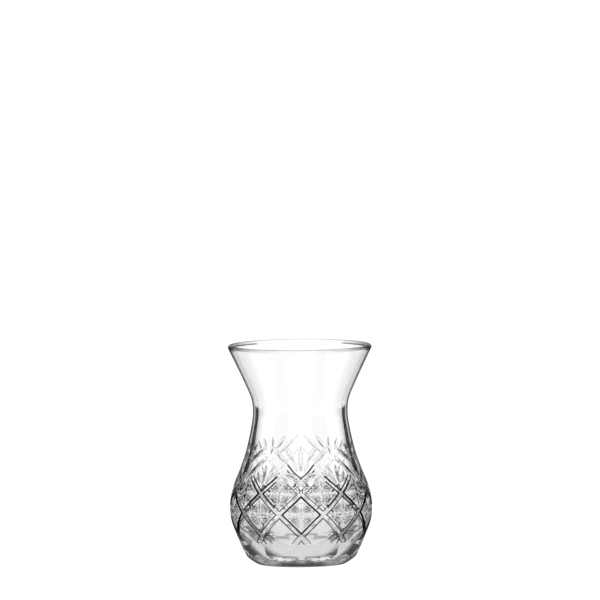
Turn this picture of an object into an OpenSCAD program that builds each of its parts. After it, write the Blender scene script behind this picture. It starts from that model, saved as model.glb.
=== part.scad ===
// Tea glass: one piece of clear pressed glass, waisted like a tulip, with a cut-crystal belly.
// The origin is the centre of the ring it stands on, and +Z points up through the mouth.

/* [Outline] */
// Height from the table to the top of the lip
height = 87; // [84:0.5:90]
// Width over the lip
rim_d = 57; // [55:0.5:59]
// Width at the narrow waist
waist_d = 37.5; // [36.5:0.1:38.5]
// Height of the waist
waist_z = 61; // [60:0.5:62.5]
// Width over the belly
belly_d = 56.4; // [55.5:0.1:58]
// Height of the widest place on the belly
belly_z = 22.8; // [22:0.1:24]
// Width where the belly meets the neck
shoulder_d = 49.3; // [48.5:0.1:50.5]
// Height where the belly meets the neck
shoulder_z = 36.5; // [35.5:0.1:37.5]
// Width low on the neck
neck_d = 38.2; // [37.8:0.1:39]
// Height of that low place on the neck
neck_z = 56.5; // [55:0.5:57.5]
// Width where the mouth starts to flare
throat_d = 39.8; // [39:0.1:41]
// Height where the mouth starts to flare
throat_z = 67.4; // [66:0.2:69]

/* [Foot] */
// Outer width of the ring that it stands on
foot_d = 34; // [32:0.5:35.5]
// Inner width of that ring
foot_bore_d = 29; // [26:0.5:30.5]
// Rise of the hollow under the foot
punt_h = 1.4; // [0.6:0.1:2]
// Width over the heel, just above the table
heel_d = 38.6; // [37.5:0.1:39.5]
// Height of the heel
heel_z = 1.2; // [0.9:0.1:1.6]
// Width where the belly rises from the panels
basin_d = 53.5; // [53:0.1:54.5]
// Height where the belly rises from the panels
basin_z = 14.6; // [13.5:0.1:15.5]

/* [Wall] */
// Thickness of the floor, down to the table
floor_h = 5.6; // [4.8:0.1:6.6]
// Width of the floor inside, up to its corner
floor_d = 26; // [23:0.5:28]
// Rise of the rounded corner between the floor and the wall
corner_h = 1; // [0.6:0.1:1.4]
// Wall at the lip, and the thickness of the round lip
lip_wall = 1.7; // [1.4:0.1:2.1]
// Wall at the waist
waist_wall = 2; // [1.7:0.1:2.4]
// Wall where the belly meets the neck
shoulder_wall = 3; // [2.6:0.1:3.4]
// Wall at the belly
belly_wall = 3; // [2.6:0.1:3.4]

/* [Lattice] */
// How many fans stand round the belly; the lattice has two columns to a fan
fans = 5; // [4:1:6]
// Height of the lattice's middle row of crossings
row_z = 21.7; // [21:0.1:22.4]
// Rise from one row of crossings to the next
row_rise = 8.5; // [8:0.1:8.7]
// How much lower each row is than an even spacing would put it
row_ease = 0.33; // [0.2:0.01:0.45]
// Width of the mitred bands
band_w = 2.3; // [1.7:0.1:2.6]
// Depth of the mitred bands
band_depth = 0.6; // [0.45:0.05:0.7]
// Width of the cross cut into each diamond
cross_w = 1; // [0.7:0.1:1.3]
// Depth of the cross cut into each diamond
cross_depth = 0.35; // [0.25:0.05:0.45]

/* [Fans] */
// Height of the fan's lowest tip
fan_z = 38.8; // [38:0.1:39.5]
// Height of the fan itself
fan_h = 9.7; // [8.5:0.1:10.5]
// Width of a leaf
leaf_w = 2; // [1.5:0.1:2.3]
// Depth of a leaf
leaf_depth = 0.45; // [0.35:0.05:0.55]
// Width of the chevron cut inside the foot of each fan, and of the sprigs between fans
chevron_w = 0.9; // [0.7:0.1:1.2]
// Depth of that chevron and of the sprigs
chevron_depth = 0.3; // [0.2:0.05:0.4]

/* [Panels] */
// Height where the flat panels round the base begin
panel_z = 4.6; // [4.2:0.1:5.2]
// Width across two opposite panels at that height
panel_d = 44.3; // [43.8:0.1:45]

/* [Hidden] */

// How far the cutting shapes stand proud of the glass, enough to clear its curve between two rings of a cut
cut_over = 1.5;
// Height over which the slope of the outside is felt
feel_h = 0.3;
columns = 2 * fans;
half_pitch = 180 / columns;

// How fast the radius grows with height at each station of the outline
heel_slope = 1.5;
basin_slope = 0.4;
shoulder_slope = -0.43;
neck_slope = -0.17;
throat_slope = 0.42;
rim_slope = 0.48;
corner_slope = 1.3;

// Straight steps in each curve of the outline, in the round lip and in a mitred band
curve_steps = 7;
round_steps = 8;
band_steps = 3;
leaf_steps = 5;

// Rows of crossings that the bands start and end at, counted from the middle row
first_row = -1.06;
top_row = 2;
fan_row = 3.06;

// The lip is a full round between the two walls
lip_r = lip_wall / 2;
lip_turn = atan(rim_slope);
lip_x = rim_d / 2 - lip_r;
lip_z = height - lip_r;

// Stations of the two walls, bottom to top: height, radius, slope
outer = [
    [heel_z, heel_d / 2, heel_slope],
    [basin_z, basin_d / 2, basin_slope],
    [belly_z, belly_d / 2, 0],
    [shoulder_z, shoulder_d / 2, shoulder_slope],
    [neck_z, neck_d / 2, neck_slope],
    [waist_z, waist_d / 2, 0],
    [throat_z, throat_d / 2, throat_slope],
    [lip_z - lip_r * sin(lip_turn), lip_x + lip_r * cos(lip_turn), rim_slope]
];
inner = [
    [floor_h + corner_h, floor_d / 2 + corner_slope * corner_h, corner_slope],
    [belly_z, belly_d / 2 - belly_wall, 0],
    [shoulder_z, shoulder_d / 2 - shoulder_wall, shoulder_slope],
    [neck_z, neck_d / 2 - waist_wall, neck_slope],
    [waist_z, waist_d / 2 - waist_wall, 0],
    [throat_z, throat_d / 2 - waist_wall, throat_slope],
    [lip_z + lip_r * sin(lip_turn), lip_x - lip_r * cos(lip_turn), rim_slope]
];

// Radius at height z on the smooth curve between two stations
function blend(a, b, z) =
    let (h = b[0] - a[0], t = (z - a[0]) / h, u = 1 - t)
    a[1] * (1 + 2 * t) * u * u + b[1] * t * t * (3 - 2 * t) + h * t * u * (a[2] * u - b[2] * t);

// Which stretch between two stations holds height z
function stretch(wall, z, i = 0) = i + 2 >= len(wall) || z < wall[i + 1][0] ? i : stretch(wall, z, i + 1);
function radius(wall, z) = let (i = stretch(wall, z)) blend(wall[i], wall[i + 1], z);

// Points of a wall, bottom to top
function wall_points(wall) = [
    for (i = [0 : len(wall) - 2], k = [0 : curve_steps - 1])
        let (z = wall[i][0] + (wall[i + 1][0] - wall[i][0]) * k / curve_steps)
        [radius(wall, z), z]
];

// Points of a rounded corner from a to b, with the sharp corner at c, both ends left out
function corner_points(a, c, b) = [
    for (k = [1 : round_steps / 2 - 1])
        let (t = k / (round_steps / 2), u = 1 - t)
        a * u * u + c * 2 * t * u + b * t * t
];

function reversed(points) = [for (i = [len(points) - 1 : -1 : 0]) points[i]];

// The whole section of the glass, from the axis under the foot, up outside and down inside
function section() =
    let (
        foot = [foot_d / 2, 0],
        heel = [heel_d / 2, heel_z],
        heel_corner = [heel_d / 2 - heel_slope * heel_z, 0],
        floor_edge = [floor_d / 2 - corner_slope * corner_h, floor_h],
        floor_corner = [floor_d / 2, floor_h],
        wall_foot = [inner[0][1], inner[0][0]]
    )
    concat(
        [for (k = [0 : round_steps]) let (t = k / round_steps) [foot_bore_d / 2 * t, punt_h * (1 - t * t)]],
        [foot],
        corner_points(foot, heel_corner, heel),
        wall_points(outer),
        [
            for (k = [0 : round_steps])
                let (a = 180 * k / round_steps - lip_turn)
                [lip_x + lip_r * cos(a), lip_z + lip_r * sin(a)]
        ],
        reversed(wall_points(inner)),
        reversed(corner_points(floor_edge, floor_corner, wall_foot)),
        [floor_edge, [0, floor_h]]
    );

// A place on the outside, at angle a from the front and height z, and the way out of the glass there
function on_glass(a, z) = let (r = radius(outer, z)) [r * sin(a), -r * cos(a), z];
function slope(z) = (radius(outer, z + feel_h) - radius(outer, z - feel_h)) / (2 * feel_h);
function way_out(a, z) = let (s = slope(z)) [sin(a), -cos(a), -s] / norm([1, s]);

// Height of a row of crossings
function row(k) = row_z + row_rise * k - row_ease * k * k;

// A V-edged cut that follows the outside through a path of [angle, height, share of the full size]
module mitre(path, w, depth) {
    n = len(path);
    places = [for (p = path) on_glass(p[0], p[1])];
    rings = [
        for (i = [0 : n - 1])
            let (
                out = way_out(path[i][0], path[i][1]),
                along = places[min(i + 1, n - 1)] - places[max(i - 1, 0)],
                across = cross(out, along) / norm(cross(out, along)),
                half = w / 2 * path[i][2] * (1 + cut_over / (depth * path[i][2]))
            )
            each [
                places[i] - out * depth * path[i][2],
                places[i] + out * cut_over - across * half,
                places[i] + out * cut_over + across * half
            ]
    ];
    sides = [
        for (i = [0 : n - 2], k = [0 : 2])
            let (a = 3 * i + k, b = 3 * i + (k + 1) % 3)
            each [[a, b, a + 3], [b, b + 3, a + 3]]
    ];
    polyhedron(rings, concat([[2, 1, 0]], sides, [[3 * n - 3, 3 * n - 2, 3 * n - 1]]));
}

// A cut that thins out to a point at each end, from one [angle, height] to another
tip_share = 0.2;
function leaf_path(from, to) = [
    for (k = [0 : leaf_steps])
        let (t = k / leaf_steps, size = tip_share + (1 - tip_share) * sin(180 * t))
        [from[0] + (to[0] - from[0]) * t, from[1] + (to[1] - from[1]) * t, size]
];
module leaf(from, to, w, depth) {
    mitre(leaf_path(from, to), w, depth);
}

// Mitred bands climb both ways through the crossings, those from a fan's foot to the top of the fan
module lattice() {
    for (i = [0 : columns - 1], hand = [-1, 1]) {
        last_row = i % 2 == 0 ? fan_row : top_row;
        steps = band_steps * ceil(last_row - first_row);
        mitre(
            [
                for (k = [0 : steps])
                    let (at = first_row + (last_row - first_row) * k / steps)
                    [half_pitch * (2 * i + hand * (at - 1)), row(at), 1]
            ],
            band_w, band_depth);
    }
}

// A cross in every whole diamond, its arms stopping short of the bands
arm_share = 0.68;
module crosses() {
    for (i = [0 : columns - 1], r = [0, 1]) {
        turn = half_pitch * (2 * i + r);
        reach = half_pitch * arm_share;
        rise = row_rise * arm_share;
        leaf([turn - reach, row(r)], [turn + reach, row(r)], cross_w, cross_depth);
        leaf([turn, row(r) - rise], [turn, row(r) + rise], cross_w, cross_depth);
    }
}

// Each leaf as [angle, height, angle, height], in shares of half a column and of the fan's height
fan_leaf_shares = [
    [0.42, 0.42, 0.95, 1],
    [0.7, 0.25, 1.8, 0.98]
];
chevron_shares = [0.02, -0.64, 0.6, -0.08];
module fan_cuts() {
    for (i = [0 : fans - 1]) {
        turn = 4 * half_pitch * i;
        leaf([turn, fan_z], [turn, fan_z + fan_h], leaf_w, leaf_depth);
        for (hand = [-1, 1]) {
            for (s = fan_leaf_shares)
                leaf(
                    [turn + hand * s[0] * half_pitch, fan_z + s[1] * fan_h],
                    [turn + hand * s[2] * half_pitch, fan_z + s[3] * fan_h],
                    leaf_w, leaf_depth);
            leaf(
                [turn + hand * chevron_shares[0] * half_pitch, fan_z + chevron_shares[1] * fan_h],
                [turn + hand * chevron_shares[2] * half_pitch, fan_z + chevron_shares[3] * fan_h],
                chevron_w, chevron_depth);
        }
    }
}

// A sprig of three small leaves in the diamond between two fans, in shares of half a column and of a row,
// each leaf smaller than one of a fan by its own share
sprig_shares = [
    [0, 1.45, 0, 2.55],
    [0.16, 1.5, 0.5, 2.15],
    [-0.16, 1.5, -0.5, 2.15]
];
sprig_share = 0.7;
module sprigs() {
    for (i = [0 : fans - 1], s = sprig_shares) {
        turn = half_pitch * (4 * i + 2);
        leaf(
            [turn + s[0] * half_pitch, row(s[1])],
            [turn + s[2] * half_pitch, row(s[3])],
            leaf_w * sprig_share, leaf_depth * sprig_share);
    }
}

// Flat panels round the base, one under each column, arched where they run out into the belly
module panels() {
    lean = atan((basin_d - panel_d) / 2 / (basin_z - panel_z));
    top = (basin_z - panel_z) / cos(lean) + cut_over;
    bottom = panel_z / cos(lean) + cut_over;
    for (i = [0 : columns - 1])
        rotate([0, 0, half_pitch * (2 * i + 1)])
            translate([0, -panel_d / 2, panel_z])
                rotate([lean, 0, 0])
                    translate([-basin_d / 2, -belly_d, -bottom])
                        cube([basin_d, belly_d, bottom + top]);
}

module glass() {
    color("aliceblue", 0.5)
        difference() {
            rotate_extrude()
                polygon(section());
            lattice();
            crosses();
            fan_cuts();
            sprigs();
            panels();
        }
}

glass();
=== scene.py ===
import math

import bmesh
import bpy
from mathutils import Matrix, Vector


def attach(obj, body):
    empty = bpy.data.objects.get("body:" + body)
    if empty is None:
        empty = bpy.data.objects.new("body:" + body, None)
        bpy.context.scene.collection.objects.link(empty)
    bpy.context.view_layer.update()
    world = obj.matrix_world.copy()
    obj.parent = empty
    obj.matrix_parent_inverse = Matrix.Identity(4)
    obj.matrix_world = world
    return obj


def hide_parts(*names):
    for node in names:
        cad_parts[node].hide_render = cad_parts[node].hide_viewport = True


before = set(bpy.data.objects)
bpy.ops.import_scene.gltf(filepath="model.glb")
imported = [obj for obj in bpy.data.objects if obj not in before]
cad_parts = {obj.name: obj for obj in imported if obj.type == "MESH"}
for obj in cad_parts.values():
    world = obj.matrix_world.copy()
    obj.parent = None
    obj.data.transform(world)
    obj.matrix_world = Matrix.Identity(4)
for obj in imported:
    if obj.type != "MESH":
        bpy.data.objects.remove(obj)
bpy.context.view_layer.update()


# Camera: a long lens, well back from the table and a little above the rim, so that the mouth
# shows as a thin ellipse. The glass stands in the lower half of the frame, its top a touch to the left.
aim = Vector((0.0003, 0, 0.1047))
camera_rise = math.radians(4.6)
camera_distance = 6.6
camera_tilt = math.radians(0.52)
camera_data = bpy.data.cameras.new("camera")
camera_data.sensor_width = 36
camera_data.lens = 1000
camera_data.clip_start = 0.1
camera_data.clip_end = 60
camera = bpy.data.objects.new("camera", camera_data)
bpy.context.collection.objects.link(camera)
backwards = Vector((0, -math.cos(camera_rise), math.sin(camera_rise)))
upright_view = (-backwards).to_track_quat("-Z", "Y")
camera.rotation_mode = "QUATERNION"
camera.rotation_quaternion = upright_view @ Matrix.Rotation(-camera_tilt, 3, "Z").to_quaternion()
camera.location = aim + backwards * camera_distance
bpy.context.scene.camera = camera


# Glass: one piece of clear soda-lime glass, pressed and blown, then cut. Its outer wall carries a lattice
# of mitred bands, crosses, fans and sprigs, and flat panels round the base. Lip, wall, floor and foot are
# one unbroken skin. All of it is drawn in millimetres and brought to metres at the end.

# The lip is a full round between the two walls, which flare out to it
mouth_r, glass_h, flare = 28.5, 87, 0.48
lip_r, lip_lean = 0.85, math.atan(flare)
lip_x, lip_z = mouth_r - lip_r, glass_h - lip_r
lip_side, lip_rise = lip_r * math.cos(lip_lean), lip_r * math.sin(lip_lean)

# Stations of the outer and the inner wall, bottom to top: height, radius, growth of the radius with height
outer_wall = [
    (1.2, 19.3, 1.5), (14.6, 26.75, 0.4), (22.8, 28.2, 0), (36.5, 24.65, -0.43), (56.5, 19.1, -0.17),
    (61, 18.75, 0), (67.4, 19.9, 0.42), (lip_z - lip_rise, lip_x + lip_side, flare),
]
inner_wall = [
    (6.6, 14.3, 1.3), (22.8, 25.2, 0), (36.5, 21.65, -0.43), (56.5, 17.1, -0.17),
    (61, 16.75, 0), (67.4, 17.9, 0.42), (lip_z + lip_rise, lip_x - lip_side, flare),
]


def radius(wall, z):
    """Radius of a wall at height z, on the smooth curve between two stations."""
    place = next((i for i in range(1, len(wall) - 1) if z < wall[i][0]), len(wall) - 1)
    (z0, r0, s0), (z1, r1, s1) = wall[place - 1], wall[place]
    h = z1 - z0
    t = (z - z0) / h
    u = 1 - t
    return r0 * (1 + 2 * t) * u * u + r1 * t * t * (3 - 2 * t) + h * t * u * (s0 * u - s1 * t)


def growth(z):
    """How fast the outer wall widens with height."""
    return (radius(outer_wall, z + 0.3) - radius(outer_wall, z - 0.3)) / 0.6


# The pattern is laid out flat: across in half columns of 18 degrees from the middle of a fan, up in rows
# of crossings, which draw together a little towards the top. Five fans go round, each with two columns
# of diamonds under it.
half_column = math.radians(18)
first_row, row_rise, row_squeeze = 21.7, 8.5, 0.33


def row_height(row):
    return first_row + row_rise * row - row_squeeze * row * row


def row_at(z):
    root = math.sqrt(row_rise * row_rise - 4 * row_squeeze * (z - first_row))
    return (row_rise - root) / (2 * row_squeeze)


# Each kind of cut by its width and depth in the middle, and the share of both that is gone at its ends
cross, hatch, leaf, chevron, sprig = (1.4, 0.35), (0.9, 0.36), (2.0, 0.4), (0.9, 0.3), (1.4, 0.315)
pointed = 0.8
diamonds = (0, 0), (2, 0), (1, 1)
cross_arm = 0.68
cuts = []
for a, k in diamonds:
    cuts.append(((a - cross_arm, k), (a + cross_arm, k), cross))
    cuts.append(((a, k - cross_arm), (a, k + cross_arm), cross))
    # In every quarter of a diamond lies a small three-sided cut
    for side, up in ((1, 1), (1, -1), (-1, 1), (-1, -1)):
        corner, beside, above = [
            (a + side * x, k + up * y) for x, y in ((0.13, 0.13), (0.5, 0.13), (0.13, 0.5))]
        cuts += [(corner, beside, hatch), (corner, above, hatch), (beside, above, hatch)]
# The fan: a middle leaf, two leaves either side and a chevron in its foot, by shares of the fan's height
fan_z, fan_h = 38.8, 9.7
for a0, h0, a1, h1, kind in (
    (0, 0, 0, 1, leaf), (0.42, 0.42, 0.95, 1, leaf), (0.7, 0.25, 1.8, 0.98, leaf),
    (0.02, -0.64, 0.6, -0.08, chevron),
):
    cuts.append(((a0, row_at(fan_z + fan_h * h0)), (a1, row_at(fan_z + fan_h * h1)), kind))
# The sprig between two fans
cuts += [((2, 1.45), (2, 2.55), sprig), ((1.84, 1.5), (1.5, 2.15), sprig)]

# A band drops off at its edge in a small steep step, then runs on in to its middle line. A step is given
# by its depth and by how far from the middle line it ends.
band_reach, band_depth = 0.195, 0.62
bold_step, fine_step = (0.42, 0.07), (0.24, 0.14)


def bands_near(across, row):
    """The bands within reach of a place, each as how far off its middle line is, and its step."""

    def in_diamond(a, k):
        return abs(across - a) + abs(row - k) < 1

    bold = in_diamond(0, 0) or (across > 1.25 and in_diamond(1, 1)) or (row < 1.9 and in_diamond(2, 2))
    falling, rising = across + row, row - across
    found = []
    for place, left_out in ((falling, 2 < falling < 4 and rising > 1), (rising, rising > 2)):
        off = abs(place - 2 * math.floor(place / 2) - 1)
        if off < band_reach and not left_out:
            found.append((off, *(bold_step if bold else fine_step)))
    return found


def cut_depth(across, row):
    """How deep the pattern is cut at a place on the flat layout, the deepest cut there winning."""
    z = row_height(row)
    wide = radius(outer_wall, z) * half_column
    high = (row_rise - 2 * row_squeeze * row) * math.hypot(1, growth(z))
    deepest = 0
    for (a0, k0), (a1, k1), (width, depth) in cuts:
        dx, dy = (a1 - a0) * wide, (k1 - k0) * high
        x, y = (across - a0) * wide, (row - k0) * high
        along = (x * dx + y * dy) / (dx * dx + dy * dy)
        if 0 <= along <= 1:
            share = 1 - pointed * (1 - math.sin(math.pi * along))
            aside = abs(x * dy - y * dx) / math.hypot(dx, dy)
            deepest = max(deepest, depth * (share - 2 * aside / width))
    # The bands follow the threads of the net, get shallower in the fans and run out at their ends
    runs_out = min(1, max(0, (row + 1.4) / 0.4), max(0, (3.2 - row) / 0.4))
    shallower = 1 - 0.55 * min(1, max(0, (row - 0.9) / 0.4))
    for off, step_depth, step_end in bands_near(across, row):
        down_step = min(1, (band_reach - off) / (band_reach - step_end))
        groove = step_depth * down_step + (band_depth - step_depth) * max(0, 1 - off / step_end)
        deepest = max(deepest, runs_out * shallower * groove)
    return deepest


# Ten flat panels go round the base, their edges under the lowest crossings: how far off the axis a panel is
# at one height, how fast it leans out with height, and the height that all of them end below
panel_r, panel_z, panel_lean, panel_top = 22.15, 4.6, 0.46, 16


def outside(turn, z):
    """Radius of the outer wall, or of a flat panel's plane where that cuts the wall back."""
    off = turn / half_column % 2 - 1
    plane = (panel_r + (z - panel_z) * panel_lean) / math.cos(off * half_column)
    return min(radius(outer_wall, z), plane) if z < panel_top else radius(outer_wall, z)


# A square net, turned by 45 degrees so that its threads run along the bands, drawn together at their edges
knots = [0, bold_step[1], fine_step[1], band_reach]
knots += [band_reach + (1 - band_reach) * i / 8 for i in range(1, 9)]
threads = len(knots) - 1


def drawn(place):
    """Moves an evenly spaced thread to its knot, counted from the nearest band."""
    odd = 2 * math.floor(place / 2) + 1
    off = place - odd
    return odd + math.copysign(knots[round(abs(off) * threads)], off)


net = bmesh.new()
bmesh.ops.create_grid(net, x_segments=8 * threads, y_segments=8 * threads, size=4)
for v in net.verts:
    s, t = drawn(v.co.x + 2), drawn(v.co.y)
    v.co = ((s - t) / 2, (s + t) / 2, 0)
# It is cropped to half a fan across and to the rows that carry the pattern
for place, away in (
    ((0, 0, 0), (-1, 0, 0)), ((2, 0, 0), (1, 0, 0)), ((0, 4, 0), (0, 1, 0)), ((0, -2, 0), (0, -1, 0)),
):
    bmesh.ops.bisect_plane(
        net, geom=net.verts[:] + net.edges[:] + net.faces[:], dist=0.001,
        plane_co=place, plane_no=away, clear_outer=True)
bmesh.ops.remove_doubles(net, verts=net.verts, dist=0.0005)
# The meshes under the pattern are parted into four, so that upright and level cuts lie on threads too
parted = [f for f in net.faces if f.calc_center_median().y > -1.1 and len(f.verts) == 4]
bmesh.ops.poke(net, faces=parted)

# The net is wrapped round the wall, with the cuts pressed in square to it
for v in net.verts:
    across, row = v.co.x, v.co.y
    z, turn = row_height(row), across * half_column
    slope = growth(z)
    depth = cut_depth(across, row) / math.hypot(1, slope)
    r, z = min(radius(outer_wall, z) - depth, outside(turn, z)), z + depth * slope
    v.co = (r * math.sin(turn), -r * math.cos(turn), z)

# Half a fan is mirrored, then set round the glass five times
bmesh.ops.mirror(
    net, geom=net.verts[:] + net.edges[:] + net.faces[:], matrix=Matrix(), merge_dist=0.001, axis="X")
bmesh.ops.spin(
    net, geom=net.verts[:] + net.edges[:] + net.faces[:], cent=(0, 0, 0), axis=(0, 0, 1),
    angle=math.radians(4 * 72), steps=4, use_duplicate=True)
bmesh.ops.remove_doubles(net, verts=net.verts, dist=0.01)


def ring_at(height):
    """The open edge of the skin that lies at a height."""
    return [e for e in net.edges if e.is_boundary and all(abs(v.co.z - height) < 0.2 for v in e.verts)]


def draw_on(edge, stations, panelled=False):
    """Draws the skin on from an open edge, ring by ring, through (radius, height)."""
    for r, z in stations:
        made = bmesh.ops.extrude_edge_only(net, edges=edge)["geom"]
        edge = [g for g in made if isinstance(g, bmesh.types.BMEdge) and g.is_boundary]
        for v in {v for e in edge for v in e.verts}:
            turn = math.atan2(v.co.x, -v.co.y)
            at = min(r, outside(turn, z)) if panelled else r
            v.co = (at * math.sin(turn), -at * math.cos(turn), z)
    return edge


def close_up(edge, z):
    """Draws a small ring of the skin together in one point on the axis."""
    bmesh.ops.pointmerge(net, verts=list({v for e in edge for v in e.verts}), merge_co=(0, 0, z))


def steps(first, last, count):
    return [first + (last - first) * (i + 1) / count for i in range(count)]


def rounded(first, corner, last, count):
    """Stations round a corner, from one point of the profile to another."""
    return [
        tuple(first * (1 - t) ** 2 + corner * 2 * t * (1 - t) + last * t * t) for t in steps(0, 1, count)]


# Up the neck and the flare, over the round lip, down inside and across the floor. One ring lies just under
# the lip inside, where the lip's see-through glass with its painted grey edge ends.
top_z = row_height(4)
floor_z, under_lip = 5.6, 85.5
neck = [(radius(outer_wall, z), z) for z in steps(top_z, outer_wall[-1][0], 22)]
lip_turns = steps(-lip_lean, math.pi - lip_lean, 12)
lip = [(lip_x + lip_r * math.cos(a), lip_z + lip_r * math.sin(a)) for a in lip_turns]
inside_heights = [under_lip] + steps(inner_wall[-1][0], inner_wall[0][0], 48)
inside = [(radius(inner_wall, z), z) for z in inside_heights]
floor_corner = rounded(Vector((14.3, 6.6)), Vector((13, floor_z)), Vector((11.7, floor_z)), 5)
floor = [(r, floor_z) for r in steps(11.7, 0.4, 7)]
close_up(draw_on(ring_at(top_z), neck + lip + inside + floor_corner + floor), floor_z)

# Down to the heel, round to the foot ring and up into the hollow under it
low_z = row_height(-2)
ring_r, hollow_h = 14.5, 1.4
heel = [(radius(outer_wall, z), z) for z in steps(low_z, 1.2, 5)]
turn_in = rounded(Vector((19.3, 1.2)), Vector((17.5, 0)), Vector((17, 0)), 6)
hollow = [(ring_r * t, hollow_h * (1 - t * t)) for t in steps(1, 0.04, 12)]
close_up(draw_on(ring_at(low_z), heel + turn_in + [(ring_r, 0)] + hollow, panelled=True), hollow_h)

bmesh.ops.recalc_face_normals(net, faces=net.faces)
bmesh.ops.scale(net, vec=(0.001, 0.001, 0.001), verts=net.verts)
# Shaded smooth, except where the skin turns by more than this
sharp_turn = math.radians(14)
for f in net.faces:
    f.smooth = True
for e in net.edges:
    e.smooth = e.is_boundary or e.calc_face_angle(0) < sharp_turn
glass_mesh = bpy.data.meshes.new("tea_glass")
net.to_mesh(glass_mesh)
net.free()
tea_glass = bpy.data.objects.new("tea_glass", glass_mesh)
bpy.context.collection.objects.link(tea_glass)


def feed(tree, socket, value):
    """Fills a socket from another socket or with a plain value."""
    if isinstance(value, bpy.types.NodeSocket):
        tree.links.new(value, socket)
    else:
        socket.default_value = value


def grey_ramp(tree, amount, stops):
    """An amount turned into a grey, through stops of (amount, grey)."""
    node = tree.nodes.new("ShaderNodeValToRGB")
    ramp = node.color_ramp
    ramp.elements.remove(ramp.elements[1])
    for i, (place, grey) in enumerate(stops):
        stop = ramp.elements.new(place) if i else ramp.elements[0]
        stop.position = place
        stop.color = (grey, grey, grey, 1)
    tree.links.new(amount, node.inputs["Fac"])
    return node.outputs["Color"]


def worked_out(tree, operation, first, second, clamp=False):
    """The result of a sum on two amounts, each a socket or a number."""
    node = tree.nodes.new("ShaderNodeMath")
    node.operation = operation
    node.use_clamp = clamp
    feed(tree, node.inputs[0], first)
    feed(tree, node.inputs[1], second)
    return node.outputs[0]


# The glass is painted black where it is seen edge on, a painted shade for each part of it at its own slant,
# but only for light that was not turned about inside it before. The lip is mostly seen through instead,
# with a painted grey at its very edge. What falls through the glass on to the card isn't blackened. Each
# painted shade has stops of (slant, share that is painted black or seen through), the slant going from 0
# for straight on to 1 for edge on.
painted_slant_shades = {
    "outside": ((0.4, 0), (0.6, 0.1), (0.74, 0.35), (0.78, 0.75), (1, 0.95)),
    "inside": ((0.65, 0), (0.8, 0.15), (0.9, 0.5), (1, 0.8)),
    "lip": ((0, 0.8),),
    "cut_edges": ((0, 0.94), (0.5, 1)),
    "mitres": ((0.27, 0), (0.36, 0.48), (0.44, 0.85)),
    "wall_foot": ((0.38, 0), (0.48, 0.7), (0.58, 0.96)),
    "floor": ((0, 0),),
    "hatch": ((0, 0.22), (0.5, 0.35)),
}
for name, stops in painted_slant_shades.items():
    glass = bpy.data.materials.new("clear_glass_" + name)
    glass.use_nodes = True
    tree = glass.node_tree
    shader = tree.nodes["Principled BSDF"]
    shader.inputs["Base Color"].default_value = (0.98, 0.985, 0.98, 1)
    shader.inputs["Roughness"].default_value = 0
    shader.inputs["IOR"].default_value = 1.5
    shader.inputs["Transmission Weight"].default_value = 1
    slant = tree.nodes.new("ShaderNodeLayerWeight")
    slant.inputs["Blend"].default_value = 0.5
    facing = slant.outputs["Facing"]
    path = tree.nodes.new("ShaderNodeLightPath").outputs
    unturned = worked_out(tree, "SUBTRACT", 1, path["Glossy Depth"], clamp=True)
    dark = worked_out(tree, "MULTIPLY", unturned, grey_ramp(tree, facing, stops))
    falling_light = worked_out(tree, "MAXIMUM", path["Is Shadow Ray"], path["Is Diffuse Ray"])
    # The see-through shader is painted black for what the camera sees, and clear for lamp light and light
    # falling on the card; on the lip it is a painted grey by slant instead.
    let_through = tree.nodes.new("ShaderNodeBsdfTransparent")
    painted_shade_colour = grey_ramp(tree, facing, ((0.3, 0.97), (0.7, 0.4))) if name == "lip" else falling_light
    tree.links.new(painted_shade_colour, let_through.inputs["Color"])
    either = tree.nodes.new("ShaderNodeMixShader")
    tree.links.new(worked_out(tree, "MAXIMUM", falling_light, dark), either.inputs["Fac"])
    tree.links.new(shader.outputs["BSDF"], either.inputs[1])
    tree.links.new(let_through.outputs["BSDF"], either.inputs[2])
    tree.links.new(either.outputs["Shader"], tree.nodes["Material Output"].inputs["Surface"])
    glass_mesh.materials.append(glass)

# The heights at which the painted shades of the glass change, and the lean off the wall from which the side
# of a cut is steep
lip_from, inside_from, floor_from, floor_to, pattern_from, pattern_to = 85.8, 9.5, 5.5, 6.4, 10, 52
mitres_to, fine_edges_to, fans_from = 31, 34, 33
steep = math.radians(29)


def painted_shade_at(middle, way):
    """The painted shade of a small face, by where its middle lies and which way it looks."""
    turn, z = math.atan2(middle.x, -middle.y), middle.z * 1000
    if z > lip_from:
        return "lip"
    if floor_from < z < floor_to and way.z > 0.5:
        return "floor"
    if middle.x * way.x + middle.y * way.y < 0 and z > floor_z:
        return "inside" if z > inside_from else "wall_foot"
    if not pattern_from < z < pattern_to:
        return "outside"
    across, row = abs((turn / half_column + 2) % 4 - 2), row_at(z)
    near = bands_near(across, row)
    # The steps at the band edges get painted black lines (the fine ones only low down); the rest of a band
    # gets the painted slant shade of the mitres low down, and of the outside above
    if near:
        off, step_depth, step_end = min(near)
        if off > step_end and (z < fine_edges_to or step_depth == bold_step[0]):
            return "cut_edges"
        return "mitres" if z < mitres_to else "outside"
    # The steep sides of the other cuts get painted black lines too
    if way.angle(Vector((math.sin(turn), -math.cos(turn), -growth(z)))) > steep:
        return "cut_edges"
    # The quarters of the diamonds get a painted grey shade, and so do the sides of the cuts in the fans and
    # sprigs
    off_middle = [(abs(across - a), abs(row - k)) for a, k in diamonds]
    in_quarter = any(x > 0.1 and y > 0.1 and x + y < 0.74 for x, y in off_middle)
    on_leaf_side = z > fans_from and 0.02 < cut_depth(across, row) < 0.2
    return "hatch" if in_quarter or on_leaf_side else "outside"


order = list(painted_slant_shades)
for polygon in glass_mesh.polygons:
    polygon.material_index = order.index(painted_shade_at(polygon.center, polygon.normal))

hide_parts("glass")
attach(tea_glass, "root")


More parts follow.
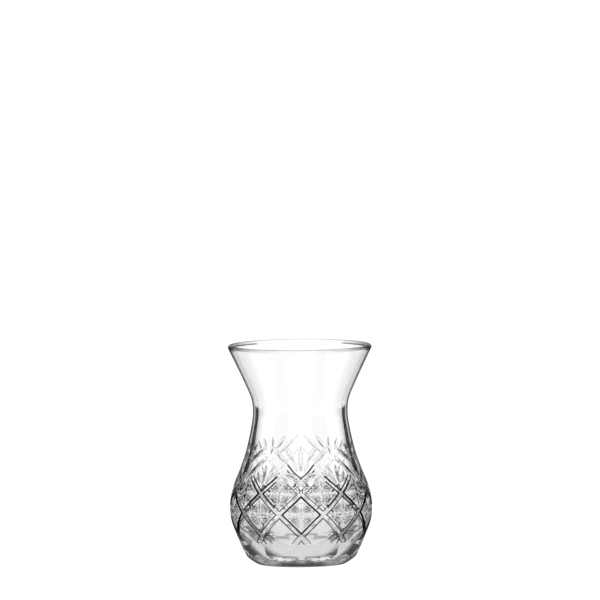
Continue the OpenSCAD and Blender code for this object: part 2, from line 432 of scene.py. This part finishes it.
# Table: a wide white sheet under the glass, running back past the edge of the picture. It is plain matt
# card, and takes the glass's soft shadow.
table = bmesh.new()
bmesh.ops.create_grid(table, x_segments=1, y_segments=1, size=8)
table_mesh = bpy.data.meshes.new("table")
table.to_mesh(table_mesh)
table.free()
table_top = bpy.data.objects.new("table", table_mesh)
bpy.context.collection.objects.link(table_top)
card = bpy.data.materials.new("white_card")
card.use_nodes = True
card_tree = card.node_tree
card_shader = card_tree.nodes["Principled BSDF"]
card_shader.inputs["Roughness"].default_value = 1
card_shader.inputs["Specular IOR Level"].default_value = 0
# Painted shades of the card, seen only through the glass or in what it throws back: a grey close to the
# glass, and a dark grey in reflections
white, painted_near_shade, painted_reflection_grey = (1, 1, 1, 1), (0.72, 0.72, 0.72, 1), (0.12, 0.12, 0.12, 1)


def painted_turn_shade(tree):
    """White, or a painted grey shade for light that was turned about inside the glass, darker with each
    turn.
    """
    path = tree.nodes.new("ShaderNodeLightPath").outputs
    turns = worked_out(tree, "DIVIDE", path["Glossy Depth"], 4)
    return grey_ramp(tree, turns, ((0, 1), (0.25, 0.88), (0.5, 0.6), (1, 0.35)))


def mirrored(tree):
    """1 for light that the skin of the glass throws back, else 0."""
    path = tree.nodes.new("ShaderNodeLightPath").outputs
    return worked_out(tree, "SUBTRACT", path["Is Glossy Ray"], path["Is Transmission Ray"], clamp=True)


def painted_corner_shade(tree, place):
    """Painted shade: white to the four sides of the glass and dark in between, by the way that a place lies
    from it.
    """
    way = tree.nodes.new("ShaderNodeVectorMath")
    way.operation = "NORMALIZE"
    either_side = tree.nodes.new("ShaderNodeVectorMath")
    either_side.operation = "ABSOLUTE"
    parts = tree.nodes.new("ShaderNodeSeparateXYZ")
    tree.links.new(place, way.inputs[0])
    tree.links.new(way.outputs["Vector"], either_side.inputs[0])
    tree.links.new(either_side.outputs["Vector"], parts.inputs["Vector"])
    lengthwise = worked_out(tree, "MULTIPLY", parts.outputs["Y"], 1.35)
    smaller = worked_out(tree, "MINIMUM", parts.outputs["X"], lengthwise)
    return grey_ramp(tree, smaller, ((0.43, 1), (0.49, 0.02)))


def blend(tree, kind, amount, first, second):
    """Mixes two colours, each a socket or a plain colour, by an amount."""
    mix = tree.nodes.new("ShaderNodeMix")
    mix.data_type = "RGBA"
    mix.blend_type = kind
    for place, value in ((0, amount), (6, first), (7, second)):
        feed(tree, mix.inputs[place], value)
    return mix.outputs[2]


def seen_plain(tree):
    """1 for what the camera sees straight, and for the light that falls on the card, else 0."""
    path = tree.nodes.new("ShaderNodeLightPath").outputs
    return worked_out(tree, "MAXIMUM", path["Is Camera Ray"], path["Diffuse Depth"], clamp=True)


spot = card_tree.nodes.new("ShaderNodeTexCoord").outputs["Object"]
distance = card_tree.nodes.new("ShaderNodeVectorMath")
distance.operation = "LENGTH"
card_tree.links.new(spot, distance.inputs[0])


def past(start, end):
    """0 close to the glass and 1 far off on the card, rising from one distance to the other."""
    between = card_tree.nodes.new("ShaderNodeMapRange")
    between.inputs["From Min"].default_value = start
    between.inputs["From Max"].default_value = end
    card_tree.links.new(distance.outputs["Value"], between.inputs["Value"])
    return between.outputs["Result"]


# Through the glass the card shows a painted grey shade close by, and further off it is white with painted
# dark corners. What the glass throws back of the card further off is painted dark grey.
near_part = blend(card_tree, "MIX", past(0.06, 0.22), painted_near_shade, white)
outer_part = blend(card_tree, "MIX", mirrored(card_tree), painted_corner_shade(card_tree, spot), painted_reflection_grey)
through_glass = blend(card_tree, "MULTIPLY", past(0.33, 0.45), near_part, outer_part)
through_glass = blend(card_tree, "MULTIPLY", 1, through_glass, painted_turn_shade(card_tree))
card_colour = blend(card_tree, "MIX", seen_plain(card_tree), through_glass, white)
card_tree.links.new(card_colour, card_shader.inputs["Base Color"])
table_mesh.materials.append(card)


# Studio: one very wide, soft lamp overhead, in a white room. For what is seen through the glass or thrown
# back by it, the room has painted shade: grey at the very top and dark in its four corners, and that is
# what draws the dark lines in clear glass.
lamp_data = bpy.data.lights.new("soft_lamp", "SUN")
lamp_data.energy = 0.4
lamp_data.angle = math.radians(80)
lamp = bpy.data.objects.new("soft_lamp", lamp_data)
bpy.context.collection.objects.link(lamp)
room = bpy.data.worlds.new("studio")
bpy.context.scene.world = room
room.use_nodes = True
sky = room.node_tree
where = sky.nodes.new("ShaderNodeTexCoord").outputs["Generated"]
split = sky.nodes.new("ShaderNodeSeparateXYZ")
sky.links.new(where, split.inputs["Vector"])
rise = sky.nodes.new("ShaderNodeMapRange")
rise.inputs["From Min"].default_value = -1
sky.links.new(split.outputs["Z"], rise.inputs["Value"])
painted_top_shade = grey_ramp(sky, rise.outputs["Result"], ((0, 1), (0.5, 1), (0.85, 0.95), (0.93, 0.5), (1, 0.3)))
through_glass = blend(sky, "MULTIPLY", 1, painted_top_shade, painted_corner_shade(sky, where))
through_glass = blend(sky, "MULTIPLY", 1, through_glass, painted_turn_shade(sky))
sky_colour = blend(sky, "MIX", seen_plain(sky), through_glass, white)
sky.links.new(sky_colour, sky.nodes["Background"].inputs["Color"])

bpy.context.scene.view_settings.view_transform = "Standard"
bpy.context.scene.cycles.max_bounces = 32
bpy.context.scene.cycles.transmission_bounces = 32
bpy.context.scene.cycles.glossy_bounces = 16
